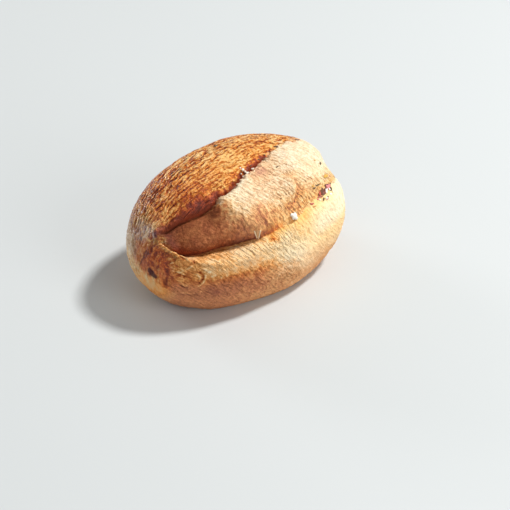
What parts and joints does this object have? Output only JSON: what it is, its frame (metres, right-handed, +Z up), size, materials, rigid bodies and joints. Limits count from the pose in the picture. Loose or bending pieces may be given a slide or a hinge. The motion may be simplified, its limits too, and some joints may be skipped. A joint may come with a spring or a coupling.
{
  "type": "pogaca",
  "caption": "Small oval baked bread roll with a cheese filling, burst open along clefts on its front and top, egg-glazed on its back and standing on a flat underside.",
  "frame": {"origin": "middle of the bounding box, at the flat underside that the roll stands on", "axes": "+X along the length towards the wider end, +Y towards the egg-glazed back, +Z up"},
  "size_m": [0.1046, 0.072, 0.0578],
  "materials": {
    "crust": "baked bread crust: egg-glazed and semi-gloss chestnut brown on the back and over the left tip, pale cream and matt on the dough that opened at the clefts, mottled tan on the front",
    "fresh_cheese": "small matt crumbs of white cheese in the clefts",
    "herb_flakes": "small dry flakes of red pepper and dark herb"
  },
  "bodies": {
    "root": {"bread": "crust"}
  },
  "joints": []
}
